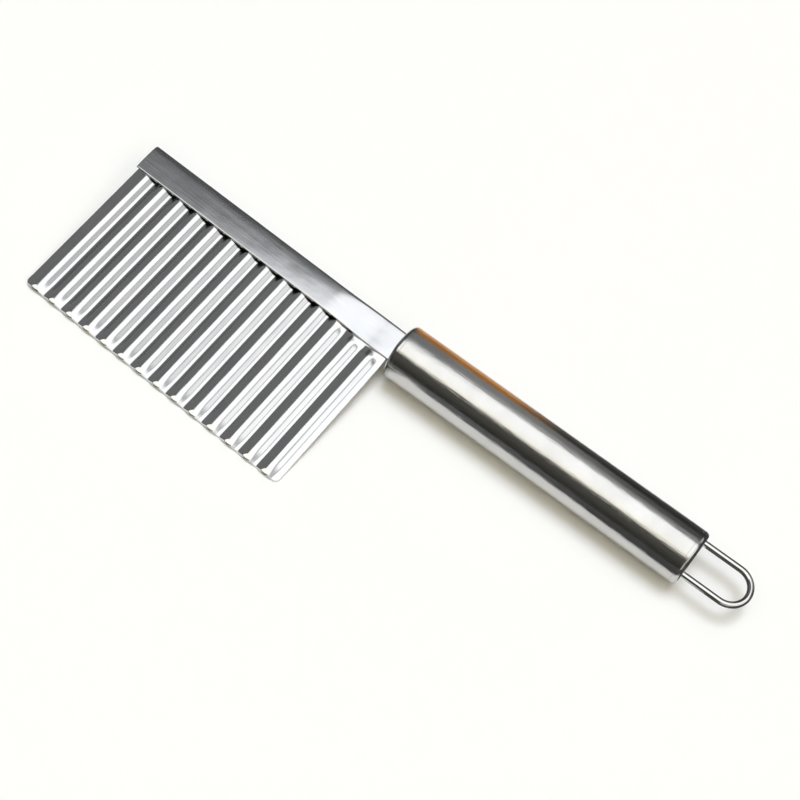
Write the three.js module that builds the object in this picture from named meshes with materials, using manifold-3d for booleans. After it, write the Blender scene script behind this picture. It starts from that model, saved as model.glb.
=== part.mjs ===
// A crinkle cutter: a corrugated steel blade clamped in a folded steel spine, whose pinched end is the
// tang of a round hollow handle with a wire hanging loop. It lies flat on a table, resting on the
// barrel of the handle and on the blade's cutting edge.
// Millimetres, +Z up, +X from the blade towards the hanging loop, cutting edge towards -Y.

import * as THREE from 'three';
import { mergeVertices } from 'three/addons/utils/BufferGeometryUtils.js';
import Module from 'manifold-3d';

// Handle: a steel tube closed by two round-edged caps, each with a skirt inside the tube's bore
const HANDLE_DIAMETER = 19.5;
const HANDLE_LENGTH = 114;
const TUBE_WALL = 0.8;
const FRONT_RIM_RADIUS = 1.4;
const REAR_RIM_RADIUS = 1.6;
const CAP_RIM_LAND = 0.7;
const CAP_THICKNESS = 1.2;
const CAP_SKIRT_LENGTH = 6;
const CAP_SKIRT_WALL = 0.6;

// Hanging loop: one wire bent to a long U, its feet hooked behind the rear cap
const LOOP_WIRE_DIAMETER = 2.2;
const LOOP_INSET = 3.2;
const LOOP_SIDE_SHIFT = 0.5;
const LOOP_REACH = 21;
const LOOP_FOOT_BEND_RADIUS = 2.4;
const LOOP_FOOT_LENGTH = 1.2;

// Blade: corrugated sheet, ground to an edge along one long side
const WAVE_COUNT = 14;
const WAVE_PITCH = 7.72;
const WAVE_HEIGHT = 1.4;
const WAVE_BEND_RADIUS = 2.6;
const WAVE_FADE_LENGTH = 4;
const EDGE_FADE_LENGTH = 6;
const EDGE_WAVE_SHARE = 0.7;
const BLADE_SHEET = 0.6;
const BLADE_LEFT_MARGIN = 0.42;
const BLADE_RIGHT_MARGIN = 1.26;
const BLADE_EXPOSED_DEPTH = 54.6;
const BLADE_TOP_TO_FOLD = 2;
const BLADE_CORNER_RADIUS = 1.6;
const GROUND_WIDTH = 0.4;
const GROUND_EDGE_THICKNESS = 0.12;
const CREST_GROUND_DEPTH = 0.42;
const CREST_GROUND_ANGLE = THREE.MathUtils.degToRad(13);

// Spine: sheet folded over the blade's top, pinched flat towards the handle
const SPINE_SHEET = 0.6;
const SPINE_HEIGHT = 10.85;
const SPINE_ABOVE_AXIS = 5.7;
const PINCH_START = 29;
const PINCH_END = 9;
const TANG_LENGTH = 28;

// How the blade sits against the handle: a small angle in its own plane and a gap before the nose
const BLADE_RAKE = THREE.MathUtils.degToRad(1.6);
const BLADE_TO_NOSE = 1.6;

// Clearances between pieces that touch on the real cutter
const CAP_CLEARANCE = 0.1;
const WIRE_CLEARANCE = 0.25;
const SLOT_CLEARANCE = 0.3;
const CLAMP_CLEARANCE = 0.25;

// Facets, and how far a cutting shape runs past what it cuts
const ROUND_SEGMENTS = 48;
const RIM_SEGMENTS = 5;
const BEND_SEGMENTS = 3;
const FOLD_SEGMENTS = 12;
const PINCH_SEGMENTS = 10;
const FADE_SEGMENTS = 3;
const EDGE_SEGMENTS = 4;
const CORNER_SEGMENTS = 8;
const WIRE_STEPS = 64;
const WIRE_SIDES = 12;
const CUT_OVERSHOOT = 5;

// Sizes that follow from those above
const handleRadius = HANDLE_DIAMETER / 2;
const tubeBoreRadius = handleRadius - TUBE_WALL;
const wireRadius = LOOP_WIRE_DIAMETER / 2;
const loopRadius = handleRadius - LOOP_INSET;
const openHalfGap = WAVE_HEIGHT / 2 + BLADE_SHEET / 2 + CLAMP_CLEARANCE;
const pinchedHalfGap = BLADE_SHEET / 2 + CLAMP_CLEARANCE;
const tangHalfThickness = pinchedHalfGap + SPINE_SHEET;
const bladeRight = -BLADE_TO_NOSE;
const bladeLeft = bladeRight - WAVE_COUNT * WAVE_PITCH - BLADE_LEFT_MARGIN - BLADE_RIGHT_MARGIN;
const spineBack = SPINE_ABOVE_AXIS;
const spineLip = SPINE_ABOVE_AXIS - SPINE_HEIGHT;
const pinchStretch = (Math.PI / 2 - 1) * (openHalfGap - pinchedHalfGap) / 2;
const cuttingEdge = spineLip - BLADE_EXPOSED_DEPTH;
const crestAtEdge = EDGE_WAVE_SHARE * WAVE_HEIGHT / 2 + BLADE_SHEET / 2;
const bladeTop = spineBack - openHalfGap - SPINE_SHEET - BLADE_TOP_TO_FOLD;

const wasm = await Module();
wasm.setup();

function steel(name, color, roughness) {
  const material = new THREE.MeshStandardMaterial({ color, roughness, metalness: 1 });
  material.name = name;
  return material;
}

const bladeSteel = steel('polished_blade_steel', 0xc9cbcd, 0.16);
const spineSteel = steel('polished_spine_steel', 0xb9bcc0, 0.24);
const handleSteel = steel('polished_handle_steel', 0xc4c4c2, 0.12);
const wireSteel = steel('bright_wire_steel', 0xbfbfbd, 0.2);

// A geometry's triangles as a solid that can be cut
function solidOf(geometry) {
  const bare = geometry.clone();
  bare.deleteAttribute('normal');
  bare.deleteAttribute('uv');
  const merged = mergeVertices(bare, 1e-4);
  const index = merged.index.array;
  const triangles = [];
  for (let i = 0; i < index.length; i += 3) {
    const [a, b, c] = index.slice(i, i + 3);
    if (a !== b && b !== c && c !== a) triangles.push(a, b, c);
  }
  return new wasm.Manifold(new wasm.Mesh({
    numProp: 3,
    vertProperties: new Float32Array(merged.attributes.position.array),
    triVerts: new Uint32Array(triangles),
  }));
}

// A solid's triangles as a geometry
function geometryOf(solid) {
  const mesh = solid.getMesh();
  const geometry = new THREE.BufferGeometry();
  geometry.setAttribute('position', new THREE.BufferAttribute(mesh.vertProperties, mesh.numProp));
  geometry.setIndex(new THREE.BufferAttribute(mesh.triVerts, 1));
  geometry.computeVertexNormals();
  return geometry;
}

function namedMesh(name, solid, material) {
  const mesh = new THREE.Mesh(geometryOf(solid), material);
  mesh.name = name;
  return mesh;
}

// A solid of bent sheet: rows of [outer point, inner point] pairs, walled in along all four sides
function sheetSolid(rows) {
  const columns = rows[0].length;
  const positions = rows.flat(2).flatMap((point) => point.toArray());
  const outerAt = (i, j) => 2 * (i * columns + j);
  const innerAt = (i, j) => outerAt(i, j) + 1;
  const triangles = [];
  const quad = (a, b, c, d) => triangles.push(a, b, c, a, c, d);
  const lastRow = rows.length - 1;
  const lastColumn = columns - 1;
  for (let i = 0; i < lastRow; i++) {
    for (let j = 0; j < lastColumn; j++) {
      quad(outerAt(i, j), outerAt(i + 1, j), outerAt(i + 1, j + 1), outerAt(i, j + 1));
      quad(innerAt(i, j), innerAt(i, j + 1), innerAt(i + 1, j + 1), innerAt(i + 1, j));
    }
    quad(outerAt(i, 0), innerAt(i, 0), innerAt(i + 1, 0), outerAt(i + 1, 0));
    quad(outerAt(i, lastColumn), outerAt(i + 1, lastColumn),
      innerAt(i + 1, lastColumn), innerAt(i, lastColumn));
  }
  for (let j = 0; j < lastColumn; j++) {
    quad(outerAt(0, j), outerAt(0, j + 1), innerAt(0, j + 1), innerAt(0, j));
    quad(outerAt(lastRow, j), innerAt(lastRow, j), innerAt(lastRow, j + 1), outerAt(lastRow, j + 1));
  }
  const geometry = new THREE.BufferGeometry();
  geometry.setAttribute('position', new THREE.Float32BufferAttribute(positions, 3));
  geometry.setIndex(triangles);
  return solidOf(geometry);
}

// A solid turned about the handle's axis, from a profile of [distance along X, radius] points
function turnedSolid(profile) {
  const points = profile.map(([along, radius]) => new THREE.Vector2(radius, along));
  const geometry = new THREE.LatheGeometry(points, ROUND_SEGMENTS);
  geometry.rotateZ(-Math.PI / 2);
  return solidOf(geometry);
}

// How much of the handle's length a cap's visible rim takes up, and where the tube starts behind it
const rimDepth = (rim) => rim + CAP_RIM_LAND;
const tubeStart = rimDepth(FRONT_RIM_RADIUS) + CAP_CLEARANCE;
const tubeEnd = HANDLE_LENGTH - rimDepth(REAR_RIM_RADIUS) - CAP_CLEARANCE;

// Handle tube: a plain round barrel, open at both ends
function handleTube() {
  return turnedSolid([
    [tubeStart, tubeBoreRadius],
    [tubeStart, handleRadius],
    [tubeEnd, handleRadius],
    [tubeEnd, tubeBoreRadius],
    [tubeStart, tubeBoreRadius],
  ]);
}

// End cap: a flat disc with a round edge flush with the barrel, and a thin skirt that fits the bore.
// It is drawn for the front end, with its outer face at X = 0.
function endCap(rim) {
  const skirtRadius = tubeBoreRadius - CAP_CLEARANCE;
  const skirtEnd = rimDepth(rim) + CAP_SKIRT_LENGTH;
  const roundEdge = [];
  for (let i = 0; i <= RIM_SEGMENTS; i++) {
    const angle = (Math.PI / 2) * (i / RIM_SEGMENTS);
    roundEdge.push([rim * (1 - Math.cos(angle)), handleRadius - rim * (1 - Math.sin(angle))]);
  }
  return turnedSolid([
    [0, 0],
    ...roundEdge,
    [rimDepth(rim), handleRadius],
    [rimDepth(rim), skirtRadius],
    [skirtEnd, skirtRadius],
    [skirtEnd, skirtRadius - CAP_SKIRT_WALL],
    [CAP_THICKNESS, skirtRadius - CAP_SKIRT_WALL],
    [CAP_THICKNESS, 0],
  ]);
}

// Nose cap: the front cap with a slot for the tang, cut along the blade's own frame
function noseCap(bladeFrame) {
  const halfWidth = tangHalfThickness + SLOT_CLEARANCE;
  const top = spineBack + pinchStretch + SLOT_CLEARANCE - halfWidth;
  const bottom = spineLip - pinchStretch - SLOT_CLEARANCE;
  const slot = new THREE.Shape();
  slot.moveTo(bottom, -halfWidth);
  slot.lineTo(top, -halfWidth);
  slot.absarc(top, 0, halfWidth, -Math.PI / 2, Math.PI / 2);
  slot.lineTo(bottom, halfWidth);
  slot.closePath();
  const geometry = new THREE.ExtrudeGeometry(slot, {
    depth: CAP_THICKNESS + 2 * CUT_OVERSHOOT,
    bevelEnabled: false,
    curveSegments: FOLD_SEGMENTS / 2,
  });
  const along = new THREE.Vector3(1, 0, 0);
  const across = new THREE.Vector3(0, 1, 0);
  const up = new THREE.Vector3(0, 0, 1);
  geometry.applyMatrix4(new THREE.Matrix4().makeBasis(across, up, along));
  geometry.translate(-CUT_OVERSHOOT, 0, 0);
  geometry.applyMatrix4(bladeFrame);
  return endCap(FRONT_RIM_RADIUS).subtract(solidOf(geometry));
}

// Rear cap: the same cap turned round, with a hole for each leg of the hanging loop
function rearCap() {
  const cap = geometryOf(endCap(REAR_RIM_RADIUS));
  cap.rotateZ(Math.PI);
  cap.translate(HANDLE_LENGTH, 0, 0);
  let solid = solidOf(cap);
  const holeRadius = wireRadius + WIRE_CLEARANCE;
  const holeLength = 2 * (REAR_RIM_RADIUS + CAP_RIM_LAND + CAP_SKIRT_LENGTH + CUT_OVERSHOOT);
  for (const side of [-1, 1]) {
    const hole = new THREE.CylinderGeometry(holeRadius, holeRadius, holeLength, ROUND_SEGMENTS / 2);
    hole.rotateZ(Math.PI / 2);
    hole.translate(HANDLE_LENGTH, LOOP_SIDE_SHIFT + side * loopRadius, 0);
    solid = solid.subtract(solidOf(hole));
  }
  return solid;
}

// An arc in the plane of the table, for the bends of the hanging loop
class FlatArc extends THREE.Curve {
  constructor(centre, radius, fromAngle, toAngle) {
    super();
    Object.assign(this, { centre, radius, fromAngle, toAngle });
  }

  getPoint(share, target = new THREE.Vector3()) {
    const angle = THREE.MathUtils.lerp(this.fromAngle, this.toAngle, share);
    target.set(Math.cos(angle), Math.sin(angle), 0);
    return target.multiplyScalar(this.radius).add(this.centre);
  }
}

// Hanging loop: foot, leg, half round, leg and foot of one wire
function hangingLoop() {
  const legStart = HANDLE_LENGTH - CAP_THICKNESS - WIRE_CLEARANCE;
  const footX = legStart - LOOP_FOOT_BEND_RADIUS;
  const roundX = HANDLE_LENGTH + LOOP_REACH - wireRadius - loopRadius;
  const bendY = loopRadius - LOOP_FOOT_BEND_RADIUS;
  const footY = bendY - LOOP_FOOT_LENGTH;
  const quarter = Math.PI / 2;
  const at = (x, y) => new THREE.Vector3(x, LOOP_SIDE_SHIFT + y, 0);
  const path = new THREE.CurvePath();
  path.add(new THREE.LineCurve3(at(footX, footY), at(footX, bendY)));
  path.add(new FlatArc(at(legStart, bendY), LOOP_FOOT_BEND_RADIUS, 2 * quarter, quarter));
  path.add(new THREE.LineCurve3(at(legStart, loopRadius), at(roundX, loopRadius)));
  path.add(new FlatArc(at(roundX, 0), loopRadius, quarter, -quarter));
  path.add(new THREE.LineCurve3(at(roundX, -loopRadius), at(legStart, -loopRadius)));
  path.add(new FlatArc(at(legStart, -bendY), LOOP_FOOT_BEND_RADIUS, -quarter, -2 * quarter));
  path.add(new THREE.LineCurve3(at(footX, -bendY), at(footX, -footY)));
  const section = new THREE.Shape().absarc(0, 0, wireRadius, 0, 2 * Math.PI);
  return solidOf(new THREE.ExtrudeGeometry(section, {
    steps: WIRE_STEPS,
    curveSegments: WIRE_SIDES / 2,
    extrudePath: path,
  }));
}

// How far the spine is pinched at a place along it: nought over the blade, one at the tang
const pinchShare = (x) => THREE.MathUtils.smoothstep(x, -PINCH_START, -PINCH_END);

// Half the gap inside the folded spine at a place along it
const spineHalfGap = (x) => THREE.MathUtils.lerp(openHalfGap, pinchedHalfGap, pinchShare(x));

// One section of the spine: a U of sheet with a round back and straight cheeks down to the lips. The
// strip keeps its width, so the section gets taller on both sides as its fold is pinched.
function spineSection(x) {
  const inside = spineHalfGap(x);
  const outside = inside + SPINE_SHEET;
  const stretch = pinchStretch * pinchShare(x);
  const foldY = spineBack + stretch - outside;
  const lipY = spineLip - stretch;
  const pair = (y, angle) => [outside, inside].map((radius) => new THREE.Vector3(
    x, y + radius * Math.cos(angle), radius * Math.sin(angle)));
  const pairs = [pair(lipY, Math.PI / 2)];
  for (let i = 0; i <= FOLD_SEGMENTS; i++) {
    pairs.push(pair(foldY, Math.PI * (1 / 2 - i / FOLD_SEGMENTS)));
  }
  pairs.push(pair(lipY, -Math.PI / 2));
  return pairs;
}

// Spine channel: folded along the whole blade, pinched before the handle and on into it as the tang
function spineChannel() {
  const stations = [bladeLeft];
  for (let i = 0; i <= PINCH_SEGMENTS; i++) {
    stations.push(THREE.MathUtils.lerp(-PINCH_START, -PINCH_END, i / PINCH_SEGMENTS));
  }
  stations.push(TANG_LENGTH);
  return sheetSolid(stations.map(spineSection));
}

// The wave's middle line over half a pitch, from a trough to the next crest: two bends of equal radius
// and the straight flank that touches both, as points with their x, height and slope angle
function halfWave() {
  const run = WAVE_PITCH / 2;
  const radius = WAVE_BEND_RADIUS;
  const flank = Math.sqrt(run ** 2 + WAVE_HEIGHT ** 2 - 4 * radius * WAVE_HEIGHT);
  const steepest = Math.atan2(WAVE_HEIGHT - 2 * radius, run) + Math.atan2(2 * radius, flank);
  const lowBend = [];
  for (let i = 0; i <= BEND_SEGMENTS; i++) {
    const slope = steepest * i / BEND_SEGMENTS;
    const height = radius * (1 - Math.cos(slope)) - WAVE_HEIGHT / 2;
    lowBend.push({ x: radius * Math.sin(slope), height, slope });
  }
  const highBend = lowBend.map(({ x, height, slope }) => ({ x: run - x, height: -height, slope }));
  return [...lowBend, ...highBend.reverse()];
}

// The blade's columns: a flat margin, the waves from trough to trough, and another flat margin
function waveColumns() {
  const half = halfWave();
  const columns = [{ x: bladeLeft, height: -WAVE_HEIGHT / 2, slope: 0 }];
  for (let k = 0; k < 2 * WAVE_COUNT; k++) {
    const sign = k % 2 === 0 ? 1 : -1;
    const start = bladeLeft + BLADE_LEFT_MARGIN + k * WAVE_PITCH / 2;
    for (const { x, height, slope } of k === 0 ? half : half.slice(1)) {
      columns.push({ x: start + x, height: sign * height, slope: sign * slope });
    }
  }
  columns.push({ x: bladeRight, height: -WAVE_HEIGHT / 2, slope: 0 });
  return columns;
}

// Share of the full wave height at a point of the blade: the wave fades out where the pinched spine
// clamps the sheet flat, and flattens a little towards the cutting edge
function waveShare(x, y) {
  const clamped = (spineHalfGap(x) - pinchedHalfGap) / (WAVE_HEIGHT / 2);
  const free = THREE.MathUtils.smoothstep(spineLip - y, 0, WAVE_FADE_LENGTH);
  const aboveEdge = THREE.MathUtils.smoothstep(y - cuttingEdge, 0, EDGE_FADE_LENGTH);
  return THREE.MathUtils.lerp(clamped, 1, free) * THREE.MathUtils.lerp(EDGE_WAVE_SHARE, 1, aboveEdge);
}

// One row of the blade across all waves. Its upper side is ground to the cutting edge by a narrow bevel
// that follows the waves, and by a flat that runs over all crests.
function bladeRow(columns, y) {
  const aboveEdge = y - cuttingEdge;
  const bevel = (BLADE_SHEET - GROUND_EDGE_THICKNESS) * Math.max(0, 1 - aboveEdge / GROUND_WIDTH);
  const crestLimit = crestAtEdge - CREST_GROUND_DEPTH + aboveEdge * Math.tan(CREST_GROUND_ANGLE);
  return columns.map(({ x, height, slope }) => {
    const share = waveShare(x, y);
    const angle = Math.atan(share * Math.tan(slope));
    const normal = new THREE.Vector3(-Math.sin(angle), 0, Math.cos(angle));
    const middle = new THREE.Vector3(x, y, share * height);
    const upper = middle.clone().addScaledVector(normal, BLADE_SHEET / 2 - bevel);
    const lower = middle.clone().addScaledVector(normal, -BLADE_SHEET / 2);
    upper.z = Math.max(Math.min(upper.z, crestLimit), lower.z + GROUND_EDGE_THICKNESS);
    return [upper, lower];
  });
}

// The blade's outline seen from above, square at the top and round at both ends of the cutting edge
function bladeOutline() {
  const radius = BLADE_CORNER_RADIUS;
  const shape = new THREE.Shape();
  shape.moveTo(bladeLeft, bladeTop);
  shape.lineTo(bladeLeft, cuttingEdge + radius);
  shape.absarc(bladeLeft + radius, cuttingEdge + radius, radius, Math.PI, 1.5 * Math.PI);
  shape.lineTo(bladeRight - radius, cuttingEdge);
  shape.absarc(bladeRight - radius, cuttingEdge + radius, radius, 1.5 * Math.PI, 2 * Math.PI);
  shape.lineTo(bladeRight, bladeTop);
  shape.closePath();
  const depth = 2 * (WAVE_HEIGHT + BLADE_SHEET);
  const geometry = new THREE.ExtrudeGeometry(shape, {
    depth,
    bevelEnabled: false,
    curveSegments: CORNER_SEGMENTS / 2,
  });
  geometry.translate(0, 0, -depth / 2);
  return solidOf(geometry);
}

// Crinkle blade: the corrugated sheet, its upper side ground away to the cutting edge, trimmed to outline
function crinkleBlade() {
  const columns = waveColumns();
  const levels = [bladeTop];
  for (let i = 0; i <= FADE_SEGMENTS; i++) {
    levels.push(spineLip - WAVE_FADE_LENGTH * i / FADE_SEGMENTS);
  }
  for (let i = 0; i < EDGE_SEGMENTS; i++) {
    levels.push(cuttingEdge + THREE.MathUtils.lerp(EDGE_FADE_LENGTH, GROUND_WIDTH, i / EDGE_SEGMENTS));
  }
  levels.push(cuttingEdge + GROUND_WIDTH, cuttingEdge);
  return sheetSolid(levels.map((y) => bladeRow(columns, y))).intersect(bladeOutline());
}

// The tilt at which the barrel and the blade's deepest corner touch the same table
function restingTilt() {
  const cornerX = bladeRight - BLADE_CORNER_RADIUS;
  const depth = -cuttingEdge * Math.cos(BLADE_RAKE) + cornerX * Math.sin(BLADE_RAKE);
  const below = EDGE_WAVE_SHARE * WAVE_HEIGHT / 2 + BLADE_SHEET / 2;
  return Math.asin(handleRadius / Math.hypot(depth, below)) - Math.atan2(below, depth);
}

// The assembly, with the handle's axis along X and its front face at X = 0
const cutter = new THREE.Group();

const blade = new THREE.Group();
blade.rotation.set(restingTilt(), 0, -BLADE_RAKE);
blade.updateMatrix();
blade.add(namedMesh('crinkle_blade', crinkleBlade(), bladeSteel));
blade.add(namedMesh('spine_channel', spineChannel(), spineSteel));
cutter.add(blade);

cutter.add(namedMesh('handle_tube', handleTube(), handleSteel));
cutter.add(namedMesh('handle_nose_cap', noseCap(blade.matrix), handleSteel));
cutter.add(namedMesh('handle_rear_cap', rearCap(), handleSteel));
cutter.add(namedMesh('hanging_loop', hangingLoop(), wireSteel));

// The origin is on the table, under the middle of the cutter
const box = new THREE.Box3().setFromObject(cutter, true);
const middle = box.getCenter(new THREE.Vector3());
cutter.position.set(-middle.x, -middle.y, -box.min.z);

export default cutter;
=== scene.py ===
"""A crinkle cutter lying on a white table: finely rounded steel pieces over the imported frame, with the
studio around them. Lengths are written in millimetres and turned into metres by MM, apart from those of
the floor and the backdrop, which are in metres."""

import math

import bpy
from mathutils import Matrix, Vector


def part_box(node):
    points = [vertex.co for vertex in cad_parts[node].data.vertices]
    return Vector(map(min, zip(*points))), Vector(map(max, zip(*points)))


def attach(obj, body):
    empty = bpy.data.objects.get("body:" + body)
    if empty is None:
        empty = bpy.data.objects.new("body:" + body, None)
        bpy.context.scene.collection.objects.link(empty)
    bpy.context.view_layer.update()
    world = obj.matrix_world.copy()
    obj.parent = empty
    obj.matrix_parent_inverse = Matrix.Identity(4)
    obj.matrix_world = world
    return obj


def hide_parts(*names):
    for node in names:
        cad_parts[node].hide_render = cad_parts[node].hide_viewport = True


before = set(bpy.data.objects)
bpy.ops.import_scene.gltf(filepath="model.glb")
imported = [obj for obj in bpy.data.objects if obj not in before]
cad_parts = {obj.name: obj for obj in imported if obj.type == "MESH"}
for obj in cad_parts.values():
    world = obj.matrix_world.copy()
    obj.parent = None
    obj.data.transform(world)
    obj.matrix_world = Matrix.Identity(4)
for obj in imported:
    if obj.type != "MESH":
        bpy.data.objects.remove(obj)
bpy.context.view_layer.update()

MM = 0.001

# Handle
CAP_RIM_LAND = 0.7 * MM
FRONT_RIM_RADIUS = 1.4 * MM
REAR_RIM_RADIUS = 1.6 * MM
TUBE_WALL = 0.8 * MM
CAP_THICKNESS = 1.2 * MM
CAP_SKIRT_LENGTH = 6 * MM
CAP_SKIRT_WALL = 0.6 * MM
CAP_CLEARANCE = 0.1 * MM
CAP_AXIS_RADIUS = 0.001 * MM
SEAM_ROUNDING = 0.04 * MM
SEAM_GAP = 0.03 * MM

# Hanging loop
WIRE_RADIUS = 1.1 * MM
LOOP_INSET = 3.2 * MM
LOOP_FOOT_BEND_RADIUS = 2.4 * MM
LOOP_FOOT_LENGTH = 1.2 * MM
WIRE_CLEARANCE = 0.25 * MM

# Blade
WAVE_COUNT = 14
WAVE_PITCH = 7.72 * MM
WAVE_HEIGHT = 1.4 * MM
WAVE_BEND_RADIUS = 2.6 * MM
RISING_RUN = 3.54 * MM
RISING_BENDS = 1.5 * MM, 2.4 * MM
FALLING_BENDS = 3.4 * MM, 2.6 * MM
TROUGH_SHIFT = 0.24 * MM
WAVE_FADE_LENGTH = 4 * MM
BLADE_SHEET = 0.6 * MM
BLADE_LEFT_MARGIN = 0.42 * MM
BLADE_RIGHT_MARGIN = 1.26 * MM
BLADE_EXPOSED_DEPTH = 54.6 * MM
BLADE_TOP_TO_FOLD = 2 * MM
BLADE_CORNER_RADIUS = 1.6 * MM
EDGE_FADE_LENGTH = 6 * MM
EDGE_WAVE_SHARE = 0.7
GROUND_WIDTH = 0.4 * MM
CREST_GROUND_DEPTH = 0.34 * MM
CREST_GROUND_SLOPE = math.tan(math.radians(13))
GROUND_EDGE_THICKNESS = 0.12 * MM

# Spine
SPINE_SHEET = 0.6 * MM
SPINE_HEIGHT = 10.85 * MM
SPINE_ABOVE_AXIS = 5.7 * MM
PINCH_START = 29 * MM
PINCH_END = 9 * MM
TANG_LENGTH = 28 * MM
CLAMP_CLEARANCE = 0.25 * MM
SLOT_CLEARANCE = 0.3 * MM
CHEEK_TILT = math.radians(4)
SHOULDER_TILT = math.radians(10)
SHOULDER_POWER = 6
LIP_WIDTH = 0.6 * MM
LIP_ROUNDING = 1.2 * MM

# Rounded ends of the sheets
EDGE_ROUNDING = 0.14 * MM
END_THICKNESS_SHARE = 0.55
END_ANGLES = 0, math.pi / 8, math.pi / 4, math.pi / 2

# How the blade sits against the handle
BLADE_RAKE = math.radians(1.6)
BLADE_TO_NOSE = 1.6 * MM

# Tools that cut the caps' openings
CUT_REACH = 5 * MM
HOLE_DEPTH = 20 * MM

# Fineness of the meshes
ROUND_SEGMENTS = 192
RIM_SEGMENTS = 16
BEND_SEGMENTS = 10
FLANK_SEGMENTS = 4
FOLD_SEGMENTS = 40
CHEEK_SEGMENTS = 10
LIP_SEGMENTS = 8
PINCH_SEGMENTS = 40
FADE_SEGMENTS = 14
BLADE_ROWS = 4
EDGE_ROWS = 48
WIRE_SIDES = 40
WIRE_BEND_SEGMENTS = 24
SLOT_SEGMENTS = 12
HOLE_SIDES = 48
BACKDROP_SIDES = 64
SHARP_ANGLE = math.radians(30)

# Patterns in the steel, in cells of noise to the metre
CLOUDS = 90, 90, 90
CLOUD_DETAIL = 4
GRAIN = 2600
GRAIN_DETAIL = 5
SWELL_DETAIL = 2
NOISE_RANGE = 0.3, 0.7

# Camera, which looks at a spot on the table, measured from the point below the handle's front end
CAMERA_LENS = 67.5
CAMERA_SENSOR = 36
CAMERA_TARGET = Vector((8.58, -9.86, 0)) * MM
CAMERA_DISTANCE = 489.4 * MM
CAMERA_TURN = math.radians(27.06)
CAMERA_TILT = math.radians(27.97)
CAMERA_ROLL = math.radians(11.67)

# Light panels: each soft edge has the angle from straight up where the light ends, and a width, in degrees
PANEL_LIMIT = 1.66
MAIN_LIGHT = 2.75
MAIN_START = math.radians(-23.4)
MAIN_FULL = math.radians(-12.8)
MAIN_RIGHT = 27, 4
MAIN_FRONT = -41, 25
MAIN_BACK = 33, 5
MAIN_SLANT = 0.42
SLANT_END = math.radians(20)
RIM_SHARE = 0.1
RIM_BACK = 56, 12
SIDE_LIGHT = 1.8
SIDE_LEFT = 30.5, 20.5
SIDE_RIGHT = 56, 8
SIDE_FRONT = -58, 12
SIDE_BACK = 45, 22
FRONT_LIGHT = 1.9
FRONT_LEFT = -38, 8
FRONT_RIGHT = -10, 8
FRONT_NEAR = -34, 8
FRONT_FAR = -12, 6
WARM_FRONT = (1, 0.97, 0.86)
WHITE = (1, 1, 1)
BLACK = (0, 0, 0)

# Walls of the studio: brightness, and where it changes, as shares of a direction or as angles
LEFT_WALL = 0.2
BACK_WALL = 0.3
DIM_WALL = 0.1
RIGHT_WALL = 0.55
FRONT_WALL_TOP = 0.105
FRONT_WALL_FOOT = 0.04
CORNER_LIGHT = 0.6
LEFT_TO_DIM = 0.3, 0.45
BACK_TO_DIM = -0.14, -0.03
LEFT_TO_BACK = -0.32, -0.2
FRONT_TO_FAR = -0.3, 0.1
FRONT_WALL_RISE = math.radians(-80), math.radians(-50)
RIGHT_WALL_START = 0.2, 0.5
RIGHT_WALL_END = 62, 10
CORNER_START = 0.1, 0.25
CORNER_ENDS = 0.6, 0.8
WARM_TO_WHITE = -0.5, -0.1

# Key light
KEY_LIGHT = 1.65
KEY_COLOUR = (0.7, 0.76, 1)
KEY_SPREAD = math.radians(26)
KEY_LEAN = math.radians(9)

# Floor and backdrop
FLOOR_SIZE = 60
FLOOR_COLOUR = (0.965, 0.94, 0.83)
PAPER_ROUGHNESS = 0.9
BACKDROP_RADIUS = 8
BACKDROP_HEIGHT = 6
BACKDROP_COLOUR = (0.98, 0.98, 0.955)

# Dark table beyond the white sheet, its outlines in millimetres from the point below the handle's front end
SHEET_OUTLINE = [(-143, -29), (-134, 41), (0, 30), (118, 27), (150, 0), (125, -31), (85, -36), (60, -43),
                 (3, -45), (4, -70), (-60, -86), (-91, -85)]
TABLE_REACH = 12
TABLE_RISE = Vector((0, 0, 60 * MM))
TABLE_LIFT = Vector((0, 0, 0.2 * MM))
SCREEN_DISTANCE = 65 * MM
SCREEN_HEIGHT = 34 * MM
SCREEN_HANDLE_LENGTHS = 2
# A dark card by the loop, seen only in the steel: a painted reflection that darkens the wire's edges where
# the floor is only shaded
LOOP_CARD = [(115, -8), (121, -11), (125, -18), (142, -18), (142, 18), (115, 18)]
LOOP_CARD_HEIGHT = 6 * MM
BROWN_START = -15 * MM, -10 * MM
BROWN_END = 25 * MM, 55 * MM
BROWN_BEHIND = 0, 10 * MM
GREY_TO_DARK = 30 * MM, 80 * MM
TABLE_GREY = (0.13, 0.13, 0.12)
TABLE_DARK = (0.06, 0.06, 0.055)
TABLE_BROWN = (0.8, 0.37, 0.125)

# The handle's place and size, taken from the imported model
tube_low, tube_high = (Vector(corner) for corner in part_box("handle_tube"))
nose_low, _ = (Vector(corner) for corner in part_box("handle_nose_cap"))
_, rear_high = (Vector(corner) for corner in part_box("handle_rear_cap"))
loop_low, loop_high = (Vector(corner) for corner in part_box("hanging_loop"))
handle_origin = Vector((nose_low.x, (tube_low.y + tube_high.y) / 2, (tube_low.z + tube_high.z) / 2))
handle_radius = (tube_high.z - tube_low.z) / 2
handle_length = rear_high.x - nose_low.x
loop_reach = loop_high.x - rear_high.x
loop_shift = (loop_low.y + loop_high.y) / 2 - handle_origin.y

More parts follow.
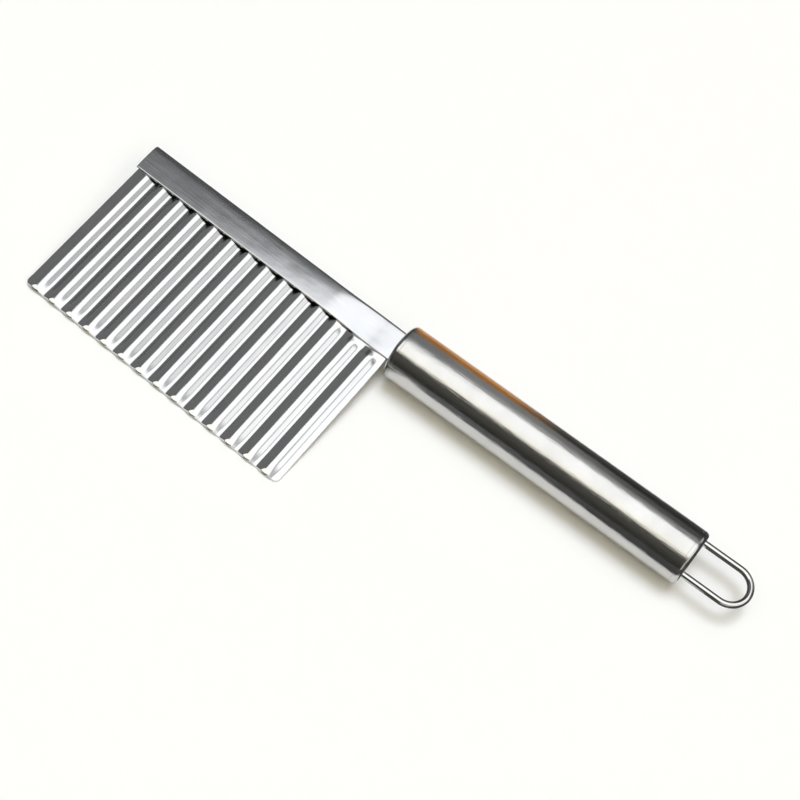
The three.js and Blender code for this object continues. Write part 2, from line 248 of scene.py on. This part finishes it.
# Sizes that follow from those above
below_nose = Vector((handle_origin.x, handle_origin.y, 0))
bore = handle_radius - TUBE_WALL
loop_radius = handle_radius - LOOP_INSET
open_half_gap = WAVE_HEIGHT / 2 + BLADE_SHEET / 2 + CLAMP_CLEARANCE
pinched_half_gap = BLADE_SHEET / 2 + CLAMP_CLEARANCE
tang_half_thickness = pinched_half_gap + SPINE_SHEET
blade_right = -BLADE_TO_NOSE
blade_left = blade_right - WAVE_COUNT * WAVE_PITCH - BLADE_LEFT_MARGIN - BLADE_RIGHT_MARGIN
spine_back = SPINE_ABOVE_AXIS
spine_lip = SPINE_ABOVE_AXIS - SPINE_HEIGHT
pinch_stretch = (math.pi / 2 - 1) * (open_half_gap - pinched_half_gap) / 2
cutting_edge = spine_lip - BLADE_EXPOSED_DEPTH
crest_at_edge = EDGE_WAVE_SHARE * WAVE_HEIGHT / 2 + BLADE_SHEET / 2
blade_top = spine_back - open_half_gap - SPINE_SHEET - BLADE_TOP_TO_FOLD


def smoothstep(value, low, high):
    share = min(max((value - low) / (high - low), 0), 1)
    return share * share * (3 - 2 * share)


def mix(first, second, share):
    return first + (second - first) * share


# Materials

def add_node(tree, kind, **settings):
    node = tree.nodes.new(kind)
    for name, value in settings.items():
        setattr(node, name, value)
    return node


def feed(tree, socket, value):
    """Sets a socket to a number, or links it to another node's output."""
    if isinstance(value, (int, float)):
        socket.default_value = value
    else:
        tree.links.new(value, socket)


def math_node(tree, operation, first, second):
    node = add_node(tree, "ShaderNodeMath", operation=operation)
    feed(tree, node.inputs[0], first)
    feed(tree, node.inputs[1], second)
    return node.outputs["Value"]


def times(tree, *values):
    """The product of numbers and other nodes' outputs, as a chain of nodes."""
    product = values[0]
    for value in values[1:]:
        product = math_node(tree, "MULTIPLY", product, value)
    return product


def map_range(tree, value, from_low, from_high, to_low, to_high, smooth=False):
    node = add_node(tree, "ShaderNodeMapRange")
    if smooth:
        node.interpolation_type = "SMOOTHSTEP"
    feed(tree, node.inputs["Value"], value)
    feed(tree, node.inputs["From Min"], from_low)
    feed(tree, node.inputs["From Max"], from_high)
    feed(tree, node.inputs["To Min"], to_low)
    feed(tree, node.inputs["To Max"], to_high)
    return node.outputs["Result"]


def ramp(tree, value, low, high, low_colour, high_colour):
    node = add_node(tree, "ShaderNodeValToRGB")
    node.color_ramp.elements[0].position = low
    node.color_ramp.elements[0].color = (*low_colour, 1)
    node.color_ramp.elements[1].position = high
    node.color_ramp.elements[1].color = (*high_colour, 1)
    tree.links.new(value, node.inputs["Fac"])
    return node.outputs["Color"]


def noise(tree, cells, detail):
    """Noise in the piece's own coordinates, with a number of cells to the metre along each axis."""
    place = add_node(tree, "ShaderNodeTexCoord")
    mapping = add_node(tree, "ShaderNodeMapping")
    mapping.inputs["Scale"].default_value = cells
    texture = add_node(tree, "ShaderNodeTexNoise")
    texture.inputs["Scale"].default_value = 1
    texture.inputs["Detail"].default_value = detail
    tree.links.new(place.outputs["Object"], mapping.inputs["Vector"])
    tree.links.new(mapping.outputs["Vector"], texture.inputs["Vector"])
    return texture.outputs["Fac"]


def relief(tree, height, depth, surface=None):
    """The surface's direction once a height of a depth stands on it, or on an earlier relief."""
    bump = add_node(tree, "ShaderNodeBump")
    bump.inputs["Strength"].default_value = 1
    bump.inputs["Distance"].default_value = depth
    tree.links.new(height, bump.inputs["Height"])
    if surface:
        tree.links.new(surface, bump.inputs["Normal"])
    return bump.outputs["Normal"]


def new_material(name):
    """A new material with its tree of nodes and its shader."""
    material = bpy.data.materials.new(name)
    material.use_nodes = True
    return material, material.node_tree, material.node_tree.nodes["Principled BSDF"]


def steel(name, dull, bright, smoothest, roughest, grain, grain_depth, swell, swell_depth):
    """Polished steel: cloudy tone, roughness that changes along fine polishing lines, and the relief of
    those lines on top of broader, flatter swells."""
    material, tree, shader = new_material(name)
    shader.inputs["Metallic"].default_value = 1
    clouds = noise(tree, CLOUDS, CLOUD_DETAIL)
    tree.links.new(ramp(tree, clouds, *NOISE_RANGE, dull, bright), shader.inputs["Base Color"])
    lines = map_range(tree, noise(tree, grain, GRAIN_DETAIL), *NOISE_RANGE, 0, 1)
    tree.links.new(map_range(tree, lines, 0, 1, smoothest, roughest), shader.inputs["Roughness"])
    swells = relief(tree, noise(tree, swell, SWELL_DETAIL), swell_depth)
    tree.links.new(relief(tree, lines, grain_depth, swells), shader.inputs["Normal"])
    return material


blade_steel = steel(
    "blade_steel", dull=(0.60, 0.61, 0.62), bright=(0.66, 0.66, 0.66), smoothest=0.10, roughest=0.17,
    grain=(GRAIN, 60, GRAIN), grain_depth=0.004 * MM, swell=(90, 90, 90), swell_depth=0.01 * MM)
spine_steel = steel(
    "spine_steel", dull=(0.57, 0.585, 0.61), bright=(0.63, 0.64, 0.66), smoothest=0.14, roughest=0.22,
    grain=(60, GRAIN, GRAIN), grain_depth=0.0012 * MM, swell=(70, 160, 160), swell_depth=0.12 * MM)
handle_steel = steel(
    "handle_steel", dull=(0.53, 0.53, 0.52), bright=(0.59, 0.59, 0.58), smoothest=0.05, roughest=0.12,
    grain=(200, GRAIN, GRAIN), grain_depth=0.018 * MM, swell=(40, 500, 500), swell_depth=0.02 * MM)
wire_steel = steel(
    "wire_steel", dull=(0.60, 0.60, 0.59), bright=(0.66, 0.66, 0.65), smoothest=0.08, roughest=0.16,
    grain=(GRAIN, GRAIN, GRAIN), grain_depth=0.0004 * MM, swell=(90, 90, 90), swell_depth=0.01 * MM)


# Meshes

def add_mesh(name, vertices, faces, place):
    mesh = bpy.data.meshes.new(name)
    mesh.from_pydata(vertices, [], faces)
    mesh.update()
    piece = bpy.data.objects.new(name, mesh)
    piece.matrix_world = place
    bpy.context.scene.collection.objects.link(piece)
    return piece


def dress(piece, node, material):
    """Smooth shading with crisp edges, a material, and the piece's place in the frame."""
    piece.data.shade_smooth()
    piece.data.set_sharp_from_angle(angle=SHARP_ANGLE)
    piece.data.materials.clear()
    piece.data.materials.append(material)
    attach(piece, "root")
    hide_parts(node)


def circle(radius, sides):
    angles = [2 * math.pi * k / sides for k in range(sides)]
    return [(radius * math.cos(angle), radius * math.sin(angle)) for angle in angles]


def ring_faces(count):
    """Faces between two closed outlines of a count of points, which follow each other as vertices."""
    return [(i, (i + 1) % count, count + (i + 1) % count, count + i) for i in range(count)]


def prism_mesh(outline, start, end):
    """Vertices and faces of an outline of (y, z) points, drawn out along the X axis."""
    count = len(outline)
    vertices = [Vector((x, y, z)) for x in (start, end) for y, z in outline]
    ends = [tuple(range(count))[::-1], tuple(range(count, 2 * count))]
    return vertices, ring_faces(count) + ends


def sheet_mesh(rows):
    """Vertices and faces of bent sheet: rows of (outer, inner) points, walled in along all four sides."""
    columns = len(rows[0])
    vertices = [point for row in rows for pair in row for point in pair]
    last_row, last_column = len(rows) - 1, columns - 1

    def outer(i, j):
        return 2 * (i * columns + j)

    def inner(i, j):
        return outer(i, j) + 1

    faces = []
    for i in range(last_row):
        for j in range(last_column):
            faces.append((outer(i, j), outer(i + 1, j), outer(i + 1, j + 1), outer(i, j + 1)))
            faces.append((inner(i, j), inner(i, j + 1), inner(i + 1, j + 1), inner(i + 1, j)))
        faces.append((outer(i, 0), inner(i, 0), inner(i + 1, 0), outer(i + 1, 0)))
        faces.append((outer(i, last_column), outer(i + 1, last_column),
                      inner(i + 1, last_column), inner(i, last_column)))
    for j in range(last_column):
        faces.append((outer(0, j), outer(0, j + 1), inner(0, j + 1), inner(0, j)))
        faces.append((outer(last_row, j), inner(last_row, j),
                      inner(last_row, j + 1), outer(last_row, j + 1)))
    return vertices, faces


def turned_mesh(profile):
    """Vertices and faces of a closed profile of (along, radius) points turned about the X axis."""
    count = len(profile)
    vertices = []
    for y, z in circle(1, ROUND_SEGMENTS):
        vertices += [Vector((along, radius * y, radius * z)) for along, radius in profile]
    faces = []
    for k in range(ROUND_SEGMENTS):
        here, there = k * count, (k + 1) % ROUND_SEGMENTS * count
        for i in range(count):
            j = (i + 1) % count
            faces.append((here + i, there + i, there + j, here + j))
    return vertices, faces


def cut_away(piece, tool):
    """Takes the tool's volume out of the piece, and removes the tool."""
    modifier = piece.modifiers.new("cut", "BOOLEAN")
    modifier.object = tool
    modifier.solver = "EXACT"
    bpy.context.view_layer.update()
    cut_piece = piece.evaluated_get(bpy.context.evaluated_depsgraph_get())
    mesh = bpy.data.meshes.new_from_object(cut_piece)
    piece.modifiers.clear()
    piece.data = mesh
    bpy.data.objects.remove(tool)


# Handle: barrel and caps

handle_place = Matrix.Translation(handle_origin)
rear_place = handle_place @ Matrix.Translation((handle_length, 0, 0)) @ Matrix.Rotation(math.pi, 4, "Z")


def barrel():
    start = FRONT_RIM_RADIUS + CAP_RIM_LAND + SEAM_GAP
    end = handle_length - REAR_RIM_RADIUS - CAP_RIM_LAND - SEAM_GAP
    return turned_mesh([
        (start, bore),
        (start, handle_radius - SEAM_ROUNDING),
        (start + SEAM_ROUNDING, handle_radius),
        (end - SEAM_ROUNDING, handle_radius),
        (end, handle_radius - SEAM_ROUNDING),
        (end, bore),
    ])


def cap(rim):
    """A cap for the front end, its outer face at X = 0; the small inner circle closes its axis."""
    skirt = bore - CAP_CLEARANCE
    depth = rim + CAP_RIM_LAND
    profile = [(0, CAP_AXIS_RADIUS)]
    for i in range(RIM_SEGMENTS + 1):
        angle = math.pi / 2 * i / RIM_SEGMENTS
        profile.append((rim * (1 - math.cos(angle)), handle_radius - rim * (1 - math.sin(angle))))
    profile += [
        (depth - SEAM_ROUNDING, handle_radius),
        (depth, handle_radius - SEAM_ROUNDING),
        (depth, skirt),
        (depth + CAP_SKIRT_LENGTH, skirt),
        (depth + CAP_SKIRT_LENGTH, skirt - CAP_SKIRT_WALL),
        (CAP_THICKNESS, skirt - CAP_SKIRT_WALL),
        (CAP_THICKNESS, CAP_AXIS_RADIUS),
    ]
    return turned_mesh(profile)


def slot_tool():
    """What is cut out of the nose cap for the tang: its section with some room around it."""
    half = tang_half_thickness + SLOT_CLEARANCE
    top = spine_back + pinch_stretch + SLOT_CLEARANCE - half
    bottom = spine_lip - pinch_stretch - SLOT_CLEARANCE
    outline = [(bottom, -half)]
    for i in range(SLOT_SEGMENTS + 1):
        angle = math.pi * (i / SLOT_SEGMENTS - 1 / 2)
        outline.append((top + half * math.cos(angle), half * math.sin(angle)))
    outline.append((bottom, half))
    return prism_mesh(outline, -CUT_REACH, CUT_REACH)


def hole_tool(side):
    """What is cut out of the rear cap for a leg of the loop, on side 1 or -1 of the handle's axis."""
    centre = loop_shift + side * loop_radius
    outline = [(centre + y, z) for y, z in circle(WIRE_RADIUS + WIRE_CLEARANCE, HOLE_SIDES)]
    return prism_mesh(outline, handle_length - HOLE_DEPTH, handle_length + CUT_REACH)


# Blade and spine share a frame: a rake in the blade's plane, and the tilt at which the cutter rests

def resting_tilt():
    """The tilt about the handle's axis at which the handle and the cutting edge both touch the table."""
    corner = blade_right - BLADE_CORNER_RADIUS
    depth = -cutting_edge * math.cos(BLADE_RAKE) + corner * math.sin(BLADE_RAKE)
    return math.asin(handle_radius / math.hypot(depth, crest_at_edge)) - math.atan2(crest_at_edge, depth)


blade_turn = Matrix.Rotation(resting_tilt(), 4, "X") @ Matrix.Rotation(-BLADE_RAKE, 4, "Z")
blade_place = handle_place @ blade_turn


def pinch_share(x):
    """How far the spine is pinched at a place along it, from 0 over the waves to 1 at the tang."""
    return smoothstep(x, -PINCH_START, -PINCH_END)


def spine_half_gap(x):
    return mix(open_half_gap, pinched_half_gap, pinch_share(x))


def rounded_ends(start, end):
    """Places near both ends of a sheet, each with the share of its thickness that is left there."""
    steps = [(EDGE_ROUNDING * (1 - math.cos(angle)), mix(END_THICKNESS_SHARE, 1, math.sin(angle)))
             for angle in END_ANGLES]
    near = [(start + inset, thick) for inset, thick in steps]
    far = [(end - inset, thick) for inset, thick in steps]
    return near, far[::-1]


def lip_drop(inset):
    """How far the outer face of a cheek has rounded off, at a distance in from its lip."""
    along = max(LIP_WIDTH - inset, 0)
    return LIP_ROUNDING - math.sqrt(LIP_ROUNDING ** 2 - along ** 2)


def spine_section(x, thickness):
    """The folded sheet: two slightly crowned cheeks with rounded lips, and the round fold between."""
    inside = spine_half_gap(x)
    middle = inside + SPINE_SHEET / 2
    half_sheet = thickness * SPINE_SHEET / 2
    stretch = pinch_stretch * pinch_share(x)
    lip = spine_lip - stretch
    fold = spine_back + stretch - inside - SPINE_SHEET
    crown = 1 - pinch_share(x)
    tilt = crown * (CHEEK_TILT + SHOULDER_TILT)
    cheek_end = fold + middle * math.sin(tilt)
    half_width = (cheek_end - lip) / 2

    def cheek(y, side):
        """Outer and inner points of the upper cheek, side 1, or of the lower one, side -1."""
        off_centre = (y - lip) / half_width - 1
        height = middle * math.cos(tilt) + crown * half_width * (
            CHEEK_TILT / 2 * (1 - off_centre ** 2)
            + SHOULDER_TILT / SHOULDER_POWER * (1 - max(off_centre, 0) ** SHOULDER_POWER))
        outer = height + half_sheet - lip_drop(y - lip)
        return [Vector((x, y, side * outer)), Vector((x, y, side * (height - half_sheet)))]

    def bend(angle):
        return [Vector((x, fold + radius * math.cos(angle), radius * math.sin(angle)))
                for radius in (middle + half_sheet, middle - half_sheet)]

    places = [lip + LIP_WIDTH * i / LIP_SEGMENTS for i in range(LIP_SEGMENTS)]
    places += [mix(lip + LIP_WIDTH, cheek_end, i / CHEEK_SEGMENTS) for i in range(CHEEK_SEGMENTS)]
    turn = math.pi / 2 - tilt
    pairs = [cheek(y, 1) for y in places]
    pairs += [bend(mix(turn, -turn, i / FOLD_SEGMENTS)) for i in range(FOLD_SEGMENTS + 1)]
    pairs += [cheek(y, -1) for y in reversed(places)]
    return pairs


def spine():
    """Sections at the rounded end, just behind it, along the pinch and at the end of the tang."""
    near, far = rounded_ends(blade_left, TANG_LENGTH)
    stations = near + [(near[-1][0] + 2 * EDGE_ROUNDING, 1)]
    stations += [(mix(-PINCH_START, -PINCH_END, i / PINCH_SEGMENTS), 1)
                 for i in range(PINCH_SEGMENTS + 1)]
    stations += far
    return sheet_mesh([spine_section(x, thickness) for x, thickness in stations])


def steepest_slope():
    """The slope of the straight flanks, where two equal bends and a flank make up half a wave."""
    run, bends = WAVE_PITCH / 2, 2 * WAVE_BEND_RADIUS
    flank = math.sqrt(run ** 2 + WAVE_HEIGHT ** 2 - 2 * bends * WAVE_HEIGHT)
    return math.atan2(WAVE_HEIGHT - bends, run) + math.atan2(bends, flank)


def half_wave(run, first_radius, last_radius):
    """From a trough up to a crest: a bend, the straight flank and a bend, as (x, height, slope). Turned
    upside down it leads from a crest down to a trough."""
    steepest = steepest_slope()
    bends = first_radius + last_radius
    flank = (WAVE_HEIGHT - bends * (1 - math.cos(steepest))) / math.tan(steepest)
    start = run - bends * math.sin(steepest) - flank
    low, high = [], []
    for i in range(BEND_SEGMENTS + 1):
        slope = steepest * i / BEND_SEGMENTS
        along, drop = math.sin(slope), 1 - math.cos(slope)
        low.append((start + first_radius * along, first_radius * drop - WAVE_HEIGHT / 2, slope))
        high.append((run - last_radius * along, WAVE_HEIGHT / 2 - last_radius * drop, slope))
    high.reverse()
    low_x, low_height, _ = low[-1]
    high_x, high_height, _ = high[0]
    straight = []
    for i in range(1, FLANK_SEGMENTS):
        share = i / FLANK_SEGMENTS
        straight.append((mix(low_x, high_x, share), mix(low_height, high_height, share), steepest))
    return low + straight + high


def wave_columns():
    """The blade's columns as (x, height, slope, share of thickness): leaning waves between flat margins."""
    near, far = rounded_ends(blade_left, blade_right)
    flat = -WAVE_HEIGHT / 2
    columns = [(x, flat, 0, thick) for x, thick in near]
    rising = half_wave(RISING_RUN, *RISING_BENDS)
    falling = half_wave(WAVE_PITCH - RISING_RUN, *FALLING_BENDS)
    first_trough = blade_left + BLADE_LEFT_MARGIN + TROUGH_SHIFT
    for k in range(WAVE_COUNT):
        trough = first_trough + k * WAVE_PITCH
        columns += [(trough + x, height, slope, 1) for x, height, slope in rising[:-1]]
        crest = trough + RISING_RUN
        columns += [(crest + x, -height, -slope, 1) for x, height, slope in falling[:-1]]
    columns.append((first_trough + WAVE_COUNT * WAVE_PITCH, flat, 0, 1))
    return columns + [(x, flat, 0, thick) for x, thick in far]


def wave_share(x, y):
    """Share of the full wave height: the wave fades out where the pinched spine clamps the sheet flat,
    and flattens a little towards the cutting edge."""
    clamped = (spine_half_gap(x) - pinched_half_gap) / (WAVE_HEIGHT / 2)
    below_lip = mix(clamped, 1, smoothstep(spine_lip - y, 0, WAVE_FADE_LENGTH))
    near_edge = mix(EDGE_WAVE_SHARE, 1, smoothstep(y - cutting_edge, 0, EDGE_FADE_LENGTH))
    return below_lip * near_edge


def edge_at(x):
    """Where the blade's lower end is at a place along it, round at both corners."""
    radius = BLADE_CORNER_RADIUS
    inset = min(radius - min(x - blade_left, blade_right - x), radius)
    if inset <= 0:
        return cutting_edge
    return cutting_edge + radius - math.sqrt(radius ** 2 - inset ** 2)


def blade_pair(column, above_edge, y):
    """The sheet's upper and lower points, its upper side ground off to the edge and on the crests."""
    x, height, slope, thick = column
    share = wave_share(x, y)
    angle = math.atan(share * math.tan(slope))
    normal = Vector((-math.sin(angle), 0, math.cos(angle)))
    centre = Vector((x, y, share * height))
    half = thick * BLADE_SHEET / 2
    bevel = (2 * half - GROUND_EDGE_THICKNESS) * max(0, 1 - above_edge / GROUND_WIDTH)
    upper = centre + normal * (half - bevel)
    lower = centre - normal * half
    crest_limit = crest_at_edge - CREST_GROUND_DEPTH + above_edge * CREST_GROUND_SLOPE
    upper.z = max(min(upper.z, crest_limit), lower.z + GROUND_EDGE_THICKNESS)
    return [upper, lower]


def blade():
    """Rows from the top down: level ones as far as the edge's zone, then rows that follow the edge."""
    columns = wave_columns()
    full_waves = spine_lip - WAVE_FADE_LENGTH
    edge_zone = cutting_edge + EDGE_FADE_LENGTH
    levels = [blade_top]
    levels += [mix(spine_lip, full_waves, i / FADE_SEGMENTS) for i in range(FADE_SEGMENTS + 1)]
    levels += [mix(full_waves, edge_zone, i / BLADE_ROWS) for i in range(1, BLADE_ROWS + 1)]
    rows = [[blade_pair(column, y - cutting_edge, y) for column in columns] for y in levels]
    for i in range(1, EDGE_ROWS + 1):
        share = 1 - i / EDGE_ROWS
        rows.append([blade_pair(column, share * EDGE_FADE_LENGTH, mix(edge_at(column[0]), edge_zone, share))
                     for column in columns])
    return sheet_mesh(rows)


# Hanging loop

def arc(centre_x, centre_y, radius, start, end):
    points = []
    for i in range(WIRE_BEND_SEGMENTS + 1):
        angle = mix(start, end, i / WIRE_BEND_SEGMENTS)
        points.append((centre_x + radius * math.cos(angle), centre_y + radius * math.sin(angle)))
    return points


def loop_path():
    """The wire's middle line: two feet hooked behind the rear cap, two straight legs and the round end."""
    quarter = math.pi / 2
    leg_start = handle_length - CAP_THICKNESS - WIRE_CLEARANCE
    foot = leg_start - LOOP_FOOT_BEND_RADIUS
    round_x = handle_length + loop_reach - WIRE_RADIUS - loop_radius
    bend = loop_radius - LOOP_FOOT_BEND_RADIUS
    path = [(foot, bend - LOOP_FOOT_LENGTH)]
    path += arc(leg_start, bend, LOOP_FOOT_BEND_RADIUS, 2 * quarter, quarter)
    path += arc(round_x, 0, loop_radius, quarter, -quarter)
    path += arc(leg_start, -bend, LOOP_FOOT_BEND_RADIUS, -quarter, -2 * quarter)
    path.append((foot, LOOP_FOOT_LENGTH - bend))
    return [Vector((x, y + loop_shift, 0)) for x, y in path]


def wire(path):
    """Vertices and faces of round wire along a level path."""
    up = Vector((0, 0, 1))
    vertices = []
    for i, point in enumerate(path):
        ahead = path[min(i + 1, len(path) - 1)] - path[max(i - 1, 0)]
        side = up.cross(ahead.normalized())
        vertices += [point + across * side + above * up
                     for across, above in circle(WIRE_RADIUS, WIRE_SIDES)]
    faces = []
    for i in range(len(path) - 1):
        here, there = i * WIRE_SIDES, (i + 1) * WIRE_SIDES
        for k in range(WIRE_SIDES):
            n = (k + 1) % WIRE_SIDES
            faces.append((here + k, here + n, there + n, there + k))
    last = (len(path) - 1) * WIRE_SIDES
    faces.append(tuple(range(WIRE_SIDES))[::-1])
    faces.append(tuple(range(last, last + WIRE_SIDES)))
    return vertices, faces


# The pieces

blade_piece = add_mesh("blade_sheet", *blade(), blade_place)
dress(blade_piece, "crinkle_blade", blade_steel)

spine_piece = add_mesh("folded_spine", *spine(), blade_place)
dress(spine_piece, "spine_channel", spine_steel)

barrel_piece = add_mesh("handle_barrel", *barrel(), handle_place)
dress(barrel_piece, "handle_tube", handle_steel)

nose_piece = add_mesh("nose_cap", *cap(FRONT_RIM_RADIUS), handle_place)
cut_away(nose_piece, add_mesh("slot", *slot_tool(), blade_place))
dress(nose_piece, "handle_nose_cap", handle_steel)

rear_piece = add_mesh("rear_cap", *cap(REAR_RIM_RADIUS), rear_place)
for side in (-1, 1):
    cut_away(rear_piece, add_mesh("hole", *hole_tool(side), handle_place))
dress(rear_piece, "handle_rear_cap", handle_steel)

loop_piece = add_mesh("loop_wire", *wire(loop_path()), handle_place)
dress(loop_piece, "hanging_loop", wire_steel)


# Camera, with the photograph's place, direction and lens

camera_data = bpy.data.cameras.new("camera")
camera_data.lens = CAMERA_LENS
camera_data.sensor_width = CAMERA_SENSOR
camera = bpy.data.objects.new("camera", camera_data)
bpy.context.scene.collection.objects.link(camera)
camera_turn = Matrix.Rotation(CAMERA_TURN, 4, "Z") @ Matrix.Rotation(CAMERA_TILT, 4, "X")
camera_turn = camera_turn @ Matrix.Rotation(CAMERA_ROLL, 4, "Z")
camera_step_back = Matrix.Translation((0, 0, CAMERA_DISTANCE))
camera.matrix_world = Matrix.Translation(below_nose + CAMERA_TARGET) @ camera_turn @ camera_step_back
bpy.context.scene.camera = camera


# Studio: a world of soft light panels overhead and dimmer walls around

world = bpy.data.worlds.new("studio")
bpy.context.scene.world = world
world.use_nodes = True
sky = world.node_tree
axes = add_node(sky, "ShaderNodeSeparateXYZ")
sky.links.new(add_node(sky, "ShaderNodeTexCoord").outputs["Generated"], axes.inputs["Vector"])
rightward, backward, upward = (axes.outputs[axis] for axis in "XYZ")
x_angle = math_node(sky, "ARCTAN2", rightward, upward)
y_angle = math_node(sky, "ARCTAN2", backward, upward)


def soft_step(value, stretch, first, last):
    """Passes softly from a first level to a last one over a stretch of a value."""
    return map_range(sky, value, *stretch, first, last, True)


def rise(angle, start, width):
    """Nought below a start in degrees, growing softly to one over a width."""
    return soft_step(angle, (math.radians(start), math.radians(start + width)), 0, 1)


def fall(angle, end, width):
    """One up to a soft edge of a width that ends at an angle in degrees, and nought above it."""
    return soft_step(angle, (math.radians(end - width), math.radians(end)), 1, 0)


slant = times(sky, math_node(sky, "MINIMUM", y_angle, SLANT_END), MAIN_SLANT)
main_left = soft_step(x_angle, (math_node(sky, "ADD", slant, MAIN_START), MAIN_FULL), 0, 1)
panel = times(sky, fall(y_angle, *MAIN_BACK), 1 - RIM_SHARE)
rim = times(sky, fall(y_angle, *RIM_BACK), RIM_SHARE)
main_across = times(sky, rise(y_angle, *MAIN_FRONT), math_node(sky, "ADD", panel, rim))
main_light = times(sky, main_left, fall(x_angle, *MAIN_RIGHT), main_across, MAIN_LIGHT)

side_along = times(sky, rise(x_angle, *SIDE_LEFT), fall(x_angle, *SIDE_RIGHT))
side_across = times(sky, rise(y_angle, *SIDE_FRONT), fall(y_angle, *SIDE_BACK))
side_light = times(sky, side_along, side_across, SIDE_LIGHT)

front_along = times(sky, rise(x_angle, *FRONT_LEFT), fall(x_angle, *FRONT_RIGHT))
front_across = times(sky, rise(y_angle, *FRONT_NEAR), fall(y_angle, *FRONT_FAR))
front_light = times(sky, front_along, front_across, FRONT_LIGHT)

right_start = soft_step(rightward, RIGHT_WALL_START, 0, RIGHT_WALL)
right_wall = times(sky, right_start, main_across, fall(x_angle, *RIGHT_WALL_END))
left_wall = soft_step(backward, LEFT_TO_DIM, LEFT_WALL, DIM_WALL)
back_wall = soft_step(rightward, BACK_TO_DIM, BACK_WALL, DIM_WALL)
far_walls = soft_step(rightward, LEFT_TO_BACK, left_wall, back_wall)
front_wall = map_range(sky, y_angle, *FRONT_WALL_RISE, FRONT_WALL_FOOT, FRONT_WALL_TOP)
towards_ends = soft_step(math_node(sky, "ABSOLUTE", backward, 0), CORNER_ENDS, 0, 1)
corners = times(sky, soft_step(rightward, CORNER_START, 0, CORNER_LIGHT), towards_ends)

light = soft_step(backward, FRONT_TO_FAR, front_wall, far_walls)
for part in (right_wall, main_light, side_light, front_light, corners):
    light = math_node(sky, "ADD", light, part)
warmth = map_range(sky, backward, *WARM_TO_WHITE, 0, 1)
background = sky.nodes["Background"]
sky.links.new(ramp(sky, warmth, 0, 1, WARM_FRONT, WHITE), background.inputs["Color"])
sky.links.new(math_node(sky, "MINIMUM", light, PANEL_LIMIT), background.inputs["Strength"])


# Key light, which gives the soft shadow and isn't seen in the steel

key_data = bpy.data.lights.new("key_light", "SUN")
key_data.energy = KEY_LIGHT
key_data.color = KEY_COLOUR
key_data.angle = KEY_SPREAD
key_light = bpy.data.objects.new("key_light", key_data)
key_light.matrix_world = Matrix.Rotation(-KEY_LEAN, 4, "X")
key_light.visible_glossy = False
bpy.context.scene.collection.objects.link(key_light)


# Floor

bpy.ops.mesh.primitive_plane_add(size=FLOOR_SIZE)
floor = bpy.context.object
floor.name = "table"
floor_material, _, floor_shader = new_material("table_paper")
floor_shader.inputs["Base Color"].default_value = (*FLOOR_COLOUR, 1)
floor_shader.inputs["Roughness"].default_value = PAPER_ROUGHNESS
floor.data.materials.append(floor_material)


# Backdrop: a pale wall far behind the cutter, which only low views see

backdrop_vertices = [Vector((x, y, z)) for z in (0, BACKDROP_HEIGHT)
                     for x, y in circle(BACKDROP_RADIUS, BACKDROP_SIDES)]
backdrop = add_mesh("backdrop", backdrop_vertices, ring_faces(BACKDROP_SIDES), Matrix())
backdrop_material, _, backdrop_shader = new_material("backdrop_paper")
backdrop_shader.inputs["Base Color"].default_value = (*BLACK, 1)
backdrop_shader.inputs["Emission Color"].default_value = (*BACKDROP_COLOUR, 1)
backdrop_shader.inputs["Emission Strength"].default_value = 1
backdrop.data.materials.append(backdrop_material)
backdrop.visible_diffuse = False
backdrop.visible_glossy = False
backdrop.visible_shadow = False


# Dark table: beyond the sheet of white paper that the cutter lies on, it shows in the steel alone, with a
# brown stretch and a low screen behind the handle, and a small dark card by the loop, a painted reflection
# that darkens the wire's edges where there is only shaded floor

sheet_corners = [Vector((x * MM, y * MM, 0)) for x, y in SHEET_OUTLINE]
table_corners = [TABLE_REACH * corner + TABLE_RISE for corner in sheet_corners]
table_vertices = sheet_corners + table_corners
table_faces = ring_faces(len(sheet_corners))
screen_end = SCREEN_HANDLE_LENGTHS * handle_length
screen_outline = [(-screen_end, 0), (screen_end, 0),
                  (screen_end, SCREEN_HEIGHT), (-screen_end, SCREEN_HEIGHT)]
screen_corners = [Vector((x, SCREEN_DISTANCE, z)) for x, z in screen_outline]
# The card by the loop: a painted dark reflection in the wire's edges
loop_reflection_card_corners = [Vector((x * MM, y * MM, LOOP_CARD_HEIGHT)) for x, y in LOOP_CARD]
for outline in (screen_corners, loop_reflection_card_corners):
    first = len(table_vertices)
    table_vertices += outline
    table_faces.append(tuple(range(first, len(table_vertices))))
table_place = Matrix.Translation(below_nose + TABLE_LIFT)
dark_table = add_mesh("dark_table", table_vertices, table_faces, table_place)

table_material, table_tree, table_shader = new_material("dark_table")
place = add_node(table_tree, "ShaderNodeSeparateXYZ")
table_points = add_node(table_tree, "ShaderNodeTexCoord").outputs["Object"]
table_tree.links.new(table_points, place.inputs["Vector"])
brown_front = map_range(table_tree, place.outputs["X"], *BROWN_START, 0, 1, True)
brown_rear = map_range(table_tree, place.outputs["X"], *BROWN_END, 1, 0, True)
behind = map_range(table_tree, place.outputs["Y"], *BROWN_BEHIND, 0, 1)
dark = map_range(table_tree, place.outputs["X"], *GREY_TO_DARK, 0, 1)
tone = add_node(table_tree, "ShaderNodeMix", data_type="RGBA")
table_tree.links.new(times(table_tree, brown_front, brown_rear, behind), tone.inputs["Factor"])
table_tree.links.new(ramp(table_tree, dark, 0, 1, TABLE_GREY, TABLE_DARK), tone.inputs["A"])
tone.inputs["B"].default_value = (*TABLE_BROWN, 1)
table_tree.links.new(tone.outputs["Result"], table_shader.inputs["Base Color"])
table_shader.inputs["Roughness"].default_value = PAPER_ROUGHNESS
dark_table.data.materials.append(table_material)
dark_table.visible_camera = False
dark_table.visible_diffuse = False
dark_table.visible_shadow = False

bpy.context.scene.view_settings.view_transform = "Standard"
